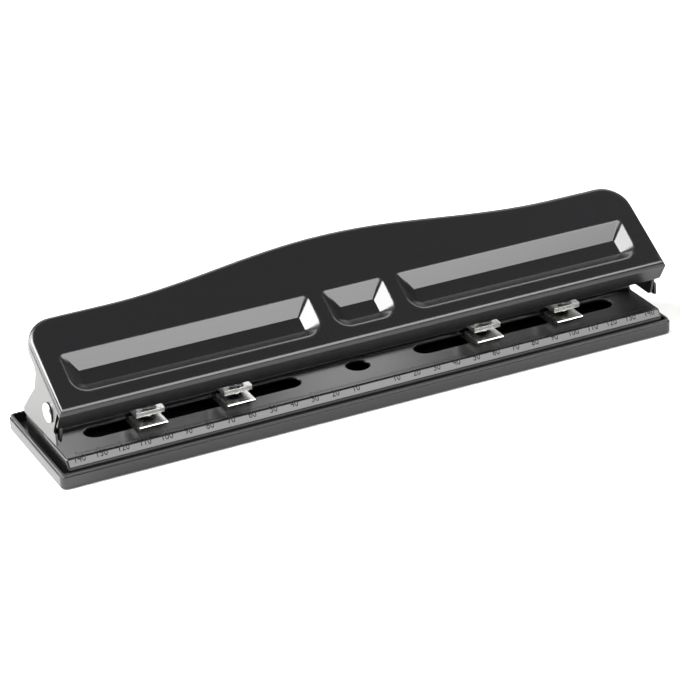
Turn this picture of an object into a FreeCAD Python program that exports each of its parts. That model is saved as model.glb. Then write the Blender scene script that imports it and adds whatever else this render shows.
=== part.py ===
import FreeCAD, Part
import math
import os

# Adjustable multi-hole lever punch. Millimetres, +Z up.
# Origin: centre of the footprint, on the surface the punch stands on.
# X runs along the length, -Y is the front where paper goes in, +Y is the back.

Vector = FreeCAD.Vector

# ---- footprint and chip tray ----
LENGTH = 300.0
DEPTH = 67.0
TRAY_TOP = 7.2
TRAY_WALL = 1.8
TRAY_FLOOR = 1.5
TRAY_CORNER = 3.0
TRAY_RIM_STEP = 0.7
TRAY_RIM_HEIGHT = 1.2
FOOT_STAND = 0.5
FOOT_RADIUS = 5.0
FOOT_RECESS = 0.6
FOOT_INSET = 11.0
LIFT_GAP = 0.4

# ---- frame: one pressed sheet, a low paper plate and a raised deck behind it ----
FRAME_SHEET = 1.2
FRAME_END_GAP = 0.8
PLATE_TOP = 12.0
DECK_TOP = 15.0
STEP_FROM_FRONT = 30.0
FRAME_BEND = 1.5
FRAME_BEVEL_DEPTH = 2.4
FRAME_BEVEL_DROP = 3.4
FRAME_BEVEL_BEND = 0.6
FRAME_BACK_INSET = 13.6
SLOT_INNER_END = 28.7
SLOT_END_MARGIN = 15.4
SLOT_WIDTH = 10.5
SLOT_EDGE_ROUND = 0.5
PUNCH_FROM_FRONT = 22.45
LOCATING_HOLE_RADIUS = 5.25

# ---- handle: a pressed pan, sloping up to the back, swinging on a rivet at each end ----
HANDLE_SHEET = 1.0
HANDLE_END_INSET = 2.4
HANDLE_SLOPE = 31.0
NOSE_FROM_FRONT = 1.2
NOSE_HEIGHT = 35.6
CREST_AT_ENDS = 49.0
CREST_RISE = 9.7
CREST_SWELL_HALF = 110.0
CREST_CORNER = 13.0
CREST_POINTS = 13
HANDLE_EDGE_ROUND = 2.5
LIP_DEPTH = 11.4
HEM_DEPTH = 6.0

# ---- recesses pressed into the handle's face ----
RECESS_DEPTH = 4.0
RECESS_LOW = 7.8
RECESS_HIGH = 28.6
RECESS_SIDE_INNER = 21.4
RECESS_END_MARGIN = 9.6
RECESS_CENTRE_HALF = 15.0
RECESS_END_RUN = 6.6
RECESS_LOW_RUN = 5.5
RECESS_HIGH_RUN = 7.7
RECESS_CORNER_ROUND = 3.0
RECESS_FLOOR_ROUND = 0.8
RECESS_RIM_ROUND = 0.8

# ---- end flanges of the handle, measured from the front edge and from the floor ----
FLANGE_SET_BACK = 2.6
FLANGE_TOE_FROM_FRONT = 9.9
FLANGE_TOE_HEIGHT = 16.5
FLANGE_CHIN_HEIGHT = 22.2
FLANGE_RELIEF = 3.2
FLANGE_HEEL_FROM_FRONT = 52.0
FLANGE_HEEL_HEIGHT = 15.2
FLANGE_WAIST_FROM_FRONT = 32.0
FLANGE_WAIST_ROUND = 4.0
FLANGE_WAIST_UP_FACE = 28.0
FLANGE_WAIST_HEIGHT = 34.5
FLANGE_LOBE_RADIUS = 9.0

# ---- pivot ----
PIVOT_FROM_FRONT = 16.0
PIVOT_HEIGHT = 29.8
PIVOT_RADIUS = 2.0
PIVOT_RUNNING_GAP = 0.06
RIVET_HEAD_RADIUS = 4.5
RIVET_HEAD_THICK = 1.5
RIVET_TAIL_RADIUS = 3.4
RIVET_TAIL_THICK = 1.0
RIVET_FACE_GAP = 0.2
WASHER_RADIUS = 4.0
WASHER_THICK = 0.5

# ---- ears: the brackets on the deck that carry the handle ----
EAR_SHEET = 1.2
EAR_EYE_RADIUS = 4.8
EAR_UNDER_HEIGHT = 16.8
EAR_ARM_HEIGHT = 28.4
EAR_BACK_INSET = 1.6
EAR_BACK_ROUND = 0.5
EAR_FOOT_DEPTH = 16.0
EAR_BEND_ROUND = 3.0
EAR_FOOT_REACH = 12.6
EAR_STOP_GAP = 0.4
EAR_RIVET_RADIUS = 1.6
EAR_RIVET_HEAD_RADIUS = 3.0
EAR_RIVET_HEAD_THICK = 1.1
EAR_RIVET_PITCH = 7.0

# ---- press bar under the handle ----
BAR_RADIUS = 3.0
BAR_BEHIND_PIVOT = 6.92
BAR_ABOVE_PIVOT = 5.5
HANGER_FROM_CENTRE = 18.2
HANGER_THICK = 2.0
HANGER_HALF_DEPTH = 3.6

# ---- punch heads, four of them on the two long slots ----
HEAD_LEFT_INNER = 60.3
HEAD_RIGHT_INNER = 63.1
HEAD_PITCH = 41.3
HEAD_WIDTH = 13.2
HEAD_SLOT_GAP = 0.5
HEAD_WEB_THICK = 1.6
HEAD_WEB_GAP = 0.6
HEAD_LIP_FROM_FRONT = 14.2
HEAD_LIP_GAP = 0.3
HEAD_LIP_THICK = 0.5
HEAD_LIP_ROUND = 3.0
HEAD_SPINE_THICK = 3.5
HEAD_SPINE_BEHIND_STEP = 4.0
HEAD_SPINE_SLOT_GAP = 0.4
JAW_FRONT_FROM_FRONT = 17.2
JAW_UNDER = 15.7
JAW_THICK = 2.6
GUIDE_UNDER = 26.6
GUIDE_THICK = 2.0
GUIDE_FRONT_MARGIN = 1.3
HEAD_CORNER = 1.5

# ---- punch pin, its die, clip and spring ----
PIN_RADIUS = 3.0
PIN_RUNNING_GAP = 0.05
PIN_TIP_HEIGHT = 14.5
PIN_TOP_GAP = 0.3
PIN_HOLLOW_DEPTH = 1.0
PIN_HOLLOW_RADIUS = 2.4
PIN_TOP_CHAMFER = 0.5
DIE_RADIUS = 4.2
DIE_GAP = 0.1
DIE_DEPTH = 3.0
CHIP_HOLE_RADIUS = 3.5
CLIP_RADIUS = 4.8
CLIP_THICK = 0.8
CLIP_GROOVE_DEPTH = 0.6
CLIP_MOUTH = 4.0
CLIP_GAP = 0.4
SPRING_WIRE_RADIUS = 0.4
SPRING_COIL_RADIUS = 4.1
SPRING_HALF_TURNS = 9
SPRING_END_GAP = 0.3

# ---- friction leaf that holds a head where it is slid ----
LEAF_THICK = 0.5
LEAF_WIDTH = 9.0
LEAF_TOP_BELOW_GUIDE = 0.4
LEAF_BEND_HEIGHT = 19.6
LEAF_REACH = 12.0
LEAF_TOE_REACH = 7.6
LEAF_TOE_RISE = 1.6
LEAF_GAP = 0.3
LEAF_BEND = 1.5
LEAF_RIVET_RADIUS = 1.3
LEAF_RIVET_HEAD_RADIUS = 2.2
LEAF_RIVET_HEAD_THICK = 1.0
LEAF_RIVET_BELOW_GUIDE = 3.2

# ---- places worked out from the sizes above ----
FRONT = -DEPTH / 2
HANDLE_HALF = LENGTH / 2 - HANDLE_END_INSET
FRAME_HALF = HANDLE_HALF - HANDLE_SHEET - FRAME_END_GAP
SLOT_OUTER_END = FRAME_HALF - SLOT_END_MARGIN
RECESS_SIDE_OUTER = HANDLE_HALF - RECESS_END_MARGIN
HEAD_PLACES = (-HEAD_LEFT_INNER - HEAD_PITCH, -HEAD_LEFT_INNER,
               HEAD_RIGHT_INNER, HEAD_RIGHT_INNER + HEAD_PITCH)
TRAY_BOTTOM = FOOT_STAND
TRAY_INSIDE = TRAY_BOTTOM + TRAY_FLOOR
FRAME_BOTTOM = TRAY_INSIDE + LIFT_GAP
FRAME_FRONT = TRAY_WALL + LIFT_GAP
FRAME_BACK = DEPTH - FRAME_BACK_INSET
EAR_BACK = FRAME_BACK - EAR_BACK_INSET
EAR_FOOT_FRONT = EAR_BACK - EAR_FOOT_DEPTH
BAR_FROM_FRONT = PIVOT_FROM_FRONT + BAR_BEHIND_PIVOT
BAR_HEIGHT = PIVOT_HEIGHT + BAR_ABOVE_PIVOT
SPINE_FRONT = STEP_FROM_FRONT + HEAD_SPINE_BEHIND_STEP
SPINE_BACK = SPINE_FRONT + HEAD_SPINE_THICK
WEB_TOP = PLATE_TOP - FRAME_SHEET - HEAD_WEB_GAP
WEB_UNDER = WEB_TOP - HEAD_WEB_THICK
BLOCK_HALF_DEPTH = SLOT_WIDTH / 2 - HEAD_SLOT_GAP
LOWER_JAW_TOP = PLATE_TOP + HEAD_LIP_GAP + HEAD_LIP_THICK
JAW_TOP = JAW_UNDER + JAW_THICK
GUIDE_TOP = GUIDE_UNDER + GUIDE_THICK
PIN_TOP = BAR_HEIGHT - BAR_RADIUS - PIN_TOP_GAP
CLIP_TOP = GUIDE_UNDER - CLIP_GAP
CLIP_UNDER = CLIP_TOP - CLIP_THICK


def place_yz(from_front, height):
    return Vector(0, FRONT + from_front, height)


def place_xy(x, from_front):
    return Vector(x, FRONT + from_front, 0)


def rounded_wire(corners, place):
    """Closed wire through corners given as (a, b, radius); place turns a and b into a point."""
    points = [place(a, b) for a, b, radius in corners]
    count = len(points)
    edges = []
    start = None
    first = None
    for index in range(count):
        corner = points[index]
        radius = corners[index][2]
        back = (points[index - 1] - corner).normalize()
        ahead = (points[(index + 1) % count] - corner).normalize()
        if radius > 0:
            half = back.getAngle(ahead) / 2
            reach = radius / math.tan(half)
            centre = corner + (back + ahead).normalize() * (radius / math.sin(half))
            enter = corner + back * reach
            leave = corner + ahead * reach
            middle = centre + (corner - centre).normalize() * radius
        else:
            enter = corner
            leave = corner
        if start is not None and (enter - start).Length > 1e-6:
            edges.append(Part.makeLine(start, enter))
        if radius > 0:
            edges.append(Part.Arc(enter, middle, leave).toShape())
        if first is None:
            first = enter
        start = leave
    if (first - start).Length > 1e-6:
        edges.append(Part.makeLine(start, first))
    return Part.Wire(edges)


def across(corners, x_from, x_to):
    """Solid with the given side outline, running along X."""
    face = Part.Face(rounded_wire(corners, place_yz))
    solid = face.extrude(Vector(x_to - x_from, 0, 0))
    solid.translate(Vector(x_from, 0, 0))
    return solid


def upright(corners, bottom, top):
    """Solid with the given plan outline, running along Z."""
    face = Part.Face(rounded_wire(corners, place_xy))
    solid = face.extrude(Vector(0, 0, top - bottom))
    solid.translate(Vector(0, 0, bottom))
    return solid


def block(x_from, x_to, from_front, to_front, bottom, top, corner=0.0):
    corners = [(x_from, from_front, corner), (x_to, from_front, corner),
               (x_to, to_front, corner), (x_from, to_front, corner)]
    return upright(corners, bottom, top)


def post(x, from_front, radius, bottom, top):
    return Part.makeCylinder(radius, top - bottom, Vector(x, FRONT + from_front, bottom))


def axle(x_from, x_to, from_front, height, radius):
    start = Vector(min(x_from, x_to), FRONT + from_front, height)
    return Part.makeCylinder(radius, abs(x_to - x_from), start, Vector(1, 0, 0))


def sheet_strip(path, thickness):
    """Side outline of a bent sheet: path is (a, b, inside bend radius), the sheet on its right."""
    points = [Vector(a, b, 0) for a, b, radius in path]
    last = len(points) - 1
    near = []
    far = []
    for index, point in enumerate(points):
        before = (point - points[index - 1]).normalize() if index > 0 else None
        after = (points[index + 1] - point).normalize() if index < last else None
        before = before or after
        after = after or before
        right_before = Vector(before.y, -before.x, 0)
        right_after = Vector(after.y, -after.x, 0)
        middle = (right_before + right_after).normalize()
        shift = middle * (thickness / middle.dot(right_after))
        turns_right = before.cross(after).z < 0
        radius = path[index][2]
        near_radius = radius + thickness if radius and turns_right else radius
        far_radius = radius + thickness if radius and not turns_right else radius
        near.append((point.x, point.y, near_radius))
        far.append((point.x + shift.x, point.y + shift.y, far_radius))
    return near + far[::-1]


def edges_where(shape, test):
    return [edge for edge in shape.Edges if test(edge)]


def fillet_where(shape, radius, test):
    return shape.makeFillet(radius, edges_where(shape, test))


def lies_at(edge, axis, value):
    box = edge.BoundBox
    low, high = ((box.XMin, box.XMax), (box.YMin, box.YMax), (box.ZMin, box.ZMax))[axis]
    return abs(low - value) < 1e-3 and abs(high - value) < 1e-3


# ---------------------------------------------------------------- chip tray

def chip_tray():
    half = LENGTH / 2
    tray = block(-half, half, 0, DEPTH, TRAY_BOTTOM, TRAY_TOP, TRAY_CORNER)
    inside = block(-half + TRAY_WALL, half - TRAY_WALL, TRAY_WALL, DEPTH - TRAY_WALL,
                   TRAY_INSIDE, TRAY_TOP, TRAY_CORNER - TRAY_WALL)
    step = half - TRAY_RIM_STEP
    rim_outside = block(-half, half, 0, DEPTH, TRAY_TOP - TRAY_RIM_HEIGHT, TRAY_TOP, TRAY_CORNER)
    rim_inside = block(-step, step, TRAY_RIM_STEP, DEPTH - TRAY_RIM_STEP,
                       TRAY_TOP - TRAY_RIM_HEIGHT, TRAY_TOP, TRAY_CORNER - TRAY_RIM_STEP)
    tray = tray.cut(inside).cut(rim_outside.cut(rim_inside))
    for x, from_front in foot_places():
        tray = tray.cut(post(x, from_front, FOOT_RADIUS, TRAY_BOTTOM, TRAY_BOTTOM + FOOT_RECESS))
    return tray


def foot_places():
    x = LENGTH / 2 - FOOT_INSET
    return [(-x, FOOT_INSET), (x, FOOT_INSET), (-x, DEPTH - FOOT_INSET), (x, DEPTH - FOOT_INSET)]


def rubber_foot(x, from_front):
    return post(x, from_front, FOOT_RADIUS, 0, TRAY_BOTTOM + FOOT_RECESS)


# ---------------------------------------------------------------- frame

def slot(inner_end, outer_end, from_front, width, bottom, top):
    end = width / 2
    low = from_front - end
    high = from_front + end
    straight_from = min(inner_end, outer_end) + end
    straight_to = max(inner_end, outer_end) - end
    body = block(straight_from, straight_to, low, high, bottom, top)
    body = body.fuse(post(straight_from, from_front, end, bottom, top))
    return body.fuse(post(straight_to, from_front, end, bottom, top)).removeSplitter()


def frame_plate():
    path = [(FRAME_FRONT, FRAME_BOTTOM, 0),
            (FRAME_FRONT, PLATE_TOP - FRAME_BEVEL_DROP, FRAME_BEVEL_BEND),
            (FRAME_FRONT + FRAME_BEVEL_DEPTH, PLATE_TOP, FRAME_BEVEL_BEND),
            (STEP_FROM_FRONT, PLATE_TOP, FRAME_BEND), (STEP_FROM_FRONT, DECK_TOP, FRAME_BEND / 4),
            (FRAME_BACK, DECK_TOP, FRAME_BEND), (FRAME_BACK, FRAME_BOTTOM, 0)]
    frame = across(sheet_strip(path, FRAME_SHEET), -FRAME_HALF, FRAME_HALF)
    skin = sheet_strip(path, FRAME_SHEET)[:len(path)]
    for side in (-1, 1):
        outer = side * FRAME_HALF
        frame = frame.fuse(across(skin, outer, outer - side * FRAME_SHEET))
    frame = frame.removeSplitter()
    for side in (-1, 1):
        frame = frame.cut(slot(side * SLOT_INNER_END, side * SLOT_OUTER_END, PUNCH_FROM_FRONT,
                               SLOT_WIDTH, PLATE_TOP - 2 * FRAME_SHEET, PLATE_TOP + FRAME_SHEET))
        frame = frame.cut(spine_slot(side))
        frame = frame.cut(ear_rivet_shanks(side, DECK_TOP - FRAME_SHEET))
    frame = frame.cut(post(0, PUNCH_FROM_FRONT, LOCATING_HOLE_RADIUS,
                           PLATE_TOP - 2 * FRAME_SHEET, PLATE_TOP + FRAME_SHEET))
    return fillet_where(frame, SLOT_EDGE_ROUND, is_slot_rim)


def is_slot_rim(edge):
    if not lies_at(edge, 2, PLATE_TOP):
        return False
    box = edge.BoundBox
    middle = FRONT + PUNCH_FROM_FRONT
    reach = SLOT_WIDTH / 2 + 1e-3
    inside = middle - reach <= box.YMin and box.YMax <= middle + reach
    return inside and box.XLength < SLOT_OUTER_END and abs(edge.CenterOfMass.x) < SLOT_OUTER_END


def spine_slot(side):
    reach = BLOCK_HALF_DEPTH
    end = SLOT_WIDTH / 2
    round_loss = end - math.sqrt(end * end - reach * reach)
    inner = side * (SLOT_INNER_END + round_loss)
    outer = side * (SLOT_OUTER_END - round_loss)
    return block(min(inner, outer), max(inner, outer), SPINE_FRONT - HEAD_SPINE_SLOT_GAP,
                 SPINE_BACK + HEAD_SPINE_SLOT_GAP, PLATE_TOP, DECK_TOP + FRAME_SHEET)


# ---------------------------------------------------------------- ears

def ear_outline():
    chin = EAR_ARM_HEIGHT - 2 * EAR_SHEET
    nose = lip_inner_line(chin) + EAR_STOP_GAP
    eye_back = PIVOT_FROM_FRONT + EAR_EYE_RADIUS
    toe = FLANGE_TOE_FROM_FRONT + EAR_SHEET
    back = EAR_BACK
    knee = STEP_FROM_FRONT + FRAME_BEND
    return [(back, DECK_TOP, 0), (knee, DECK_TOP, 0), (knee, EAR_UNDER_HEIGHT, 0),
            (toe, EAR_UNDER_HEIGHT, 2), (nose, chin, 0.5),
            (nose, EAR_ARM_HEIGHT - 1, 0.5), (PIVOT_FROM_FRONT, PIVOT_HEIGHT, 0),
            (eye_back, EAR_ARM_HEIGHT, 0), (STEP_FROM_FRONT, EAR_ARM_HEIGHT, EAR_BEND_ROUND),
            (back, DECK_TOP + EAR_SHEET, EAR_BACK_ROUND)]


def lip_inner_line(height):
    """Distance from the front of the lip's inner face at a height."""
    slope = math.radians(HANDLE_SLOPE)
    return NOSE_FROM_FRONT + (NOSE_HEIGHT - height) * math.tan(slope) + HANDLE_SHEET / math.cos(slope)


def ear(side):
    outer = side * FRAME_HALF
    inner = outer - side * EAR_SHEET
    plate = across(ear_outline(), outer, inner)
    plate = plate.fuse(axle(outer, inner, PIVOT_FROM_FRONT, PIVOT_HEIGHT, EAR_EYE_RADIUS))
    foot_end = outer - side * EAR_FOOT_REACH
    foot = block(min(outer, foot_end), max(outer, foot_end), EAR_FOOT_FRONT,
                 EAR_BACK, DECK_TOP, DECK_TOP + EAR_SHEET)
    shape = plate.fuse(foot).removeSplitter()
    shape = shape.cut(axle(outer, inner, PIVOT_FROM_FRONT, PIVOT_HEIGHT, PIVOT_RADIUS))
    return shape.cut(ear_rivet_shanks(side, DECK_TOP - FRAME_SHEET))


def ear_rivet_places(side):
    x = side * (FRAME_HALF - EAR_FOOT_REACH / 2)
    middle = (EAR_FOOT_FRONT + EAR_BACK) / 2
    return [(x, middle - EAR_RIVET_PITCH / 2), (x, middle + EAR_RIVET_PITCH / 2)]


def ear_rivet_shanks(side, bottom):
    top = DECK_TOP + EAR_SHEET
    shanks = [post(x, y, EAR_RIVET_RADIUS, bottom, top) for x, y in ear_rivet_places(side)]
    return Part.makeCompound(shanks)


def domed_head(x, from_front, height, radius, thick, direction):
    """Low dome standing on a flat face, bulging along direction."""
    ball = (radius * radius + thick * thick) / (2 * thick)
    base = Vector(x, FRONT + from_front, height)
    dome = Part.makeSphere(ball, base + direction * (thick - ball))
    return dome.common(Part.makeCylinder(radius, thick, base, direction))


def ear_rivets():
    rivets = []
    under = DECK_TOP - FRAME_SHEET
    for side in (-1, 1):
        for x, y in ear_rivet_places(side):
            shank = post(x, y, EAR_RIVET_RADIUS, under, DECK_TOP + EAR_SHEET)
            top = domed_head(x, y, DECK_TOP + EAR_SHEET, EAR_RIVET_HEAD_RADIUS,
                             EAR_RIVET_HEAD_THICK, Vector(0, 0, 1))
            tail = domed_head(x, y, under, EAR_RIVET_HEAD_RADIUS, EAR_RIVET_HEAD_THICK,
                              Vector(0, 0, -1))
            rivets.append(shank.fuse(top).fuse(tail).removeSplitter())
    return Part.makeCompound(rivets)


# ---------------------------------------------------------------- pivot

def pivot_rivet(side):
    out = Vector(side, 0, 0)
    head_face = side * (HANDLE_HALF + RIVET_FACE_GAP)
    tail_face = side * (FRAME_HALF - EAR_SHEET)
    shank = axle(tail_face, head_face, PIVOT_FROM_FRONT, PIVOT_HEIGHT, PIVOT_RADIUS)
    rim = RIVET_HEAD_THICK / 3
    brim = axle(head_face, head_face + side * rim, PIVOT_FROM_FRONT, PIVOT_HEIGHT,
                RIVET_HEAD_RADIUS)
    dome = domed_head(head_face + side * rim, PIVOT_FROM_FRONT, PIVOT_HEIGHT,
                      RIVET_HEAD_RADIUS, RIVET_HEAD_THICK - rim, out)
    tail = domed_head(tail_face, PIVOT_FROM_FRONT, PIVOT_HEIGHT, RIVET_TAIL_RADIUS,
                      RIVET_TAIL_THICK, out * -1)
    return shank.fuse([brim, dome, tail]).removeSplitter()


def pivot_washer(side):
    inner = side * FRAME_HALF
    outer = inner + side * WASHER_THICK
    ring = axle(inner, outer, PIVOT_FROM_FRONT, PIVOT_HEIGHT, WASHER_RADIUS)
    return ring.cut(axle(inner, outer, PIVOT_FROM_FRONT, PIVOT_HEIGHT, PIVOT_RADIUS))


# ---------------------------------------------------------------- handle

def to_handle(shape):
    """Move a shape from the handle's own plane (X, up the face, out of the face) into place."""
    shape.rotate(Vector(0, 0, 0), Vector(1, 0, 0), HANDLE_SLOPE)
    shape.translate(Vector(0, FRONT + NOSE_FROM_FRONT, NOSE_HEIGHT))
    return shape


def crest_height(x):
    """Distance up the face to the crest, a smooth swell about the middle."""
    if abs(x) >= CREST_SWELL_HALF:
        return CREST_AT_ENDS
    return CREST_AT_ENDS + CREST_RISE * (1 + math.cos(math.pi * x / CREST_SWELL_HALF)) / 2


def handle_outline(inset):
    half = HANDLE_HALF - inset
    shoulder = CREST_AT_ENDS - inset
    corner = CREST_CORNER - inset
    bend = corner * (1 - math.sqrt(0.5))
    swell = [CREST_SWELL_HALF * (1 - 2 * i / (CREST_POINTS - 1)) for i in range(CREST_POINTS)]
    crest = Part.BSplineCurve()
    crest.interpolate([Vector(x, crest_height(x) - inset, 0) for x in swell],
                      InitialTangent=Vector(-1, 0, 0), FinalTangent=Vector(-1, 0, 0))
    start = Vector(-half, inset, 0)
    front_end = Vector(half, inset, 0)
    right_top = Vector(half, shoulder - corner, 0)
    right_mid = Vector(half - bend, shoulder - bend, 0)
    right_in = Vector(half - corner, shoulder, 0)
    left_top = Vector(-half, shoulder - corner, 0)
    left_mid = Vector(-half + bend, shoulder - bend, 0)
    left_in = Vector(-half + corner, shoulder, 0)
    swell_right = Vector(CREST_SWELL_HALF, shoulder, 0)
    swell_left = Vector(-CREST_SWELL_HALF, shoulder, 0)
    return Part.Wire([Part.makeLine(start, front_end), Part.makeLine(front_end, right_top),
                      Part.Arc(right_top, right_mid, right_in).toShape(),
                      Part.makeLine(right_in, swell_right), crest.toShape(),
                      Part.makeLine(swell_left, left_in),
                      Part.Arc(left_in, left_mid, left_top).toShape(),
                      Part.makeLine(left_top, start)])


def handle_pan(depth):
    outer = Part.Face(handle_outline(0)).extrude(Vector(0, 0, -depth))
    outer = fillet_where(outer, HANDLE_EDGE_ROUND, lambda edge: lies_at(edge, 2, 0))
    inner = Part.Face(handle_outline(HANDLE_SHEET)).extrude(Vector(0, 0, HANDLE_SHEET - depth))
    inner = fillet_where(inner, HANDLE_EDGE_ROUND - HANDLE_SHEET, lambda edge: lies_at(edge, 2, 0))
    inner.translate(Vector(0, 0, -HANDLE_SHEET))
    return outer.cut(inner)


def recess(x_from, x_to, grow, depth):
    """Four-sided dish: wide at the face, sloping in on every side to a flat floor."""
    top = [x_from - grow, x_to + grow, RECESS_LOW - grow, RECESS_HIGH + grow]
    floor = [top[0] + RECESS_END_RUN, top[1] - RECESS_END_RUN,
             top[2] + RECESS_LOW_RUN, top[3] - RECESS_HIGH_RUN]
    wires = []
    for (x0, x1, u0, u1), w in ((top, 0), (floor, -depth)):
        corners = [Vector(x0, u0, w), Vector(x1, u0, w), Vector(x1, u1, w), Vector(x0, u1, w)]
        wires.append(Part.makePolygon(corners + corners[:1]))
    dish = Part.makeLoft(wires, True, True)
    dish = fillet_where(dish, RECESS_CORNER_ROUND + grow, is_slanting)
    return fillet_where(dish, RECESS_FLOOR_ROUND, lambda edge: lies_at(edge, 2, -depth))


def is_slanting(edge):
    return edge.BoundBox.ZLength > HANDLE_SHEET


def recess_spans():
    return [(-RECESS_SIDE_OUTER, -RECESS_SIDE_INNER), (-RECESS_CENTRE_HALF, RECESS_CENTRE_HALF),
            (RECESS_SIDE_INNER, RECESS_SIDE_OUTER)]


def from_handle(up_face, out_of_face):
    """Distance from the front and height of a point given in the handle's own plane."""
    slope = math.radians(HANDLE_SLOPE)
    from_front = NOSE_FROM_FRONT + up_face * math.cos(slope) - out_of_face * math.sin(slope)
    return from_front, NOSE_HEIGHT + up_face * math.sin(slope) + out_of_face * math.cos(slope)


def flange_outline():
    top = -HANDLE_EDGE_ROUND
    back = CREST_AT_ENDS - CREST_CORNER
    chin_drop = (FLANGE_CHIN_HEIGHT - from_handle(FLANGE_SET_BACK, 0)[1])
    chin_drop = chin_drop / math.cos(math.radians(HANDLE_SLOPE))
    return [(*from_handle(FLANGE_SET_BACK, top), 0), (*from_handle(FLANGE_SET_BACK, chin_drop), 0.4),
            (FLANGE_TOE_FROM_FRONT + 0.4, FLANGE_CHIN_HEIGHT, 0.4),
            (FLANGE_TOE_FROM_FRONT, FLANGE_TOE_HEIGHT, 0.5),
            (FLANGE_HEEL_FROM_FRONT, FLANGE_HEEL_HEIGHT, 1.5),
            (FLANGE_HEEL_FROM_FRONT - FLANGE_LOBE_RADIUS, FLANGE_HEEL_HEIGHT + FLANGE_LOBE_RADIUS,
             FLANGE_LOBE_RADIUS),
            (FLANGE_WAIST_FROM_FRONT, FLANGE_WAIST_HEIGHT, FLANGE_WAIST_ROUND),
            (*from_handle(FLANGE_WAIST_UP_FACE, -HEM_DEPTH), FLANGE_WAIST_ROUND),
            (*from_handle(back, -HEM_DEPTH), 0), (*from_handle(back, top), 0)]


def is_recess_rim(edge):
    if not lies_at(edge, 2, 0):
        return False
    box = edge.BoundBox
    inside_x = -RECESS_SIDE_OUTER - 1e-3 < box.XMin and box.XMax < RECESS_SIDE_OUTER + 1e-3
    return inside_x and box.YMin > RECESS_LOW - 1e-3 and box.YMax < RECESS_HIGH + 1e-3


def handle_shell():
    half = HANDLE_HALF
    pan = handle_pan(LIP_DEPTH)
    for x_from, x_to in recess_spans():
        pan = pan.fuse(recess(x_from, x_to, HANDLE_SHEET, RECESS_DEPTH + HANDLE_SHEET))
    for x_from, x_to in recess_spans():
        pan = pan.cut(recess(x_from, x_to, 0, RECESS_DEPTH))
    pan = fillet_where(pan.removeSplitter(), RECESS_RIM_ROUND, is_recess_rim)
    hem = Part.makeBox(2 * half, 2 * half, HEM_DEPTH, Vector(-half, -half, -HEM_DEPTH))
    lip = Part.makeBox(2 * half, 2 * HANDLE_EDGE_ROUND, LIP_DEPTH,
                       Vector(-half, -HANDLE_EDGE_ROUND, -LIP_DEPTH))
    shell = pan.common(hem.fuse(lip))
    relief = FLANGE_SET_BACK - HANDLE_SHEET
    inside = half - HANDLE_SHEET
    for side in (-1, 1):
        low = min(side * inside, side * half)
        shell = shell.cut(Part.makeBox(HANDLE_SHEET, relief, LIP_DEPTH,
                                       Vector(low, HANDLE_SHEET, -FLANGE_RELIEF - LIP_DEPTH)))
        shell = shell.cut(Part.makeBox(HANDLE_SHEET, HANDLE_EDGE_ROUND * 2, LIP_DEPTH,
                                       Vector(low, FLANGE_SET_BACK, -HEM_DEPTH - LIP_DEPTH)))
    shell = to_handle(shell)
    for side in (-1, 1):
        shell = shell.fuse(across(flange_outline(), side * inside, side * half))
    hole = PIVOT_RADIUS + PIVOT_RUNNING_GAP
    shell = shell.removeSplitter()
    return shell.cut(axle(-half, half, PIVOT_FROM_FRONT, PIVOT_HEIGHT, hole))


def press_bar():
    reach = HANDLE_HALF - HANDLE_SHEET
    return axle(-reach, reach, BAR_FROM_FRONT, BAR_HEIGHT, BAR_RADIUS)


def face_underside(from_front):
    slope = math.radians(HANDLE_SLOPE)
    rise = (from_front - NOSE_FROM_FRONT) * math.tan(slope)
    return NOSE_HEIGHT + rise - HANDLE_SHEET / math.cos(slope)


def bar_hanger(side):
    low = BAR_FROM_FRONT - HANGER_HALF_DEPTH
    high = BAR_FROM_FRONT + HANGER_HALF_DEPTH
    outline = [(low, BAR_HEIGHT, 0), (high, BAR_HEIGHT, 0), (high, face_underside(high), 0),
               (low, face_underside(low), 0)]
    middle = side * HANGER_FROM_CENTRE
    plate = across(outline, middle - HANGER_THICK / 2, middle + HANGER_THICK / 2)
    return plate.cut(press_bar())


# ---------------------------------------------------------------- punch heads

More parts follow.
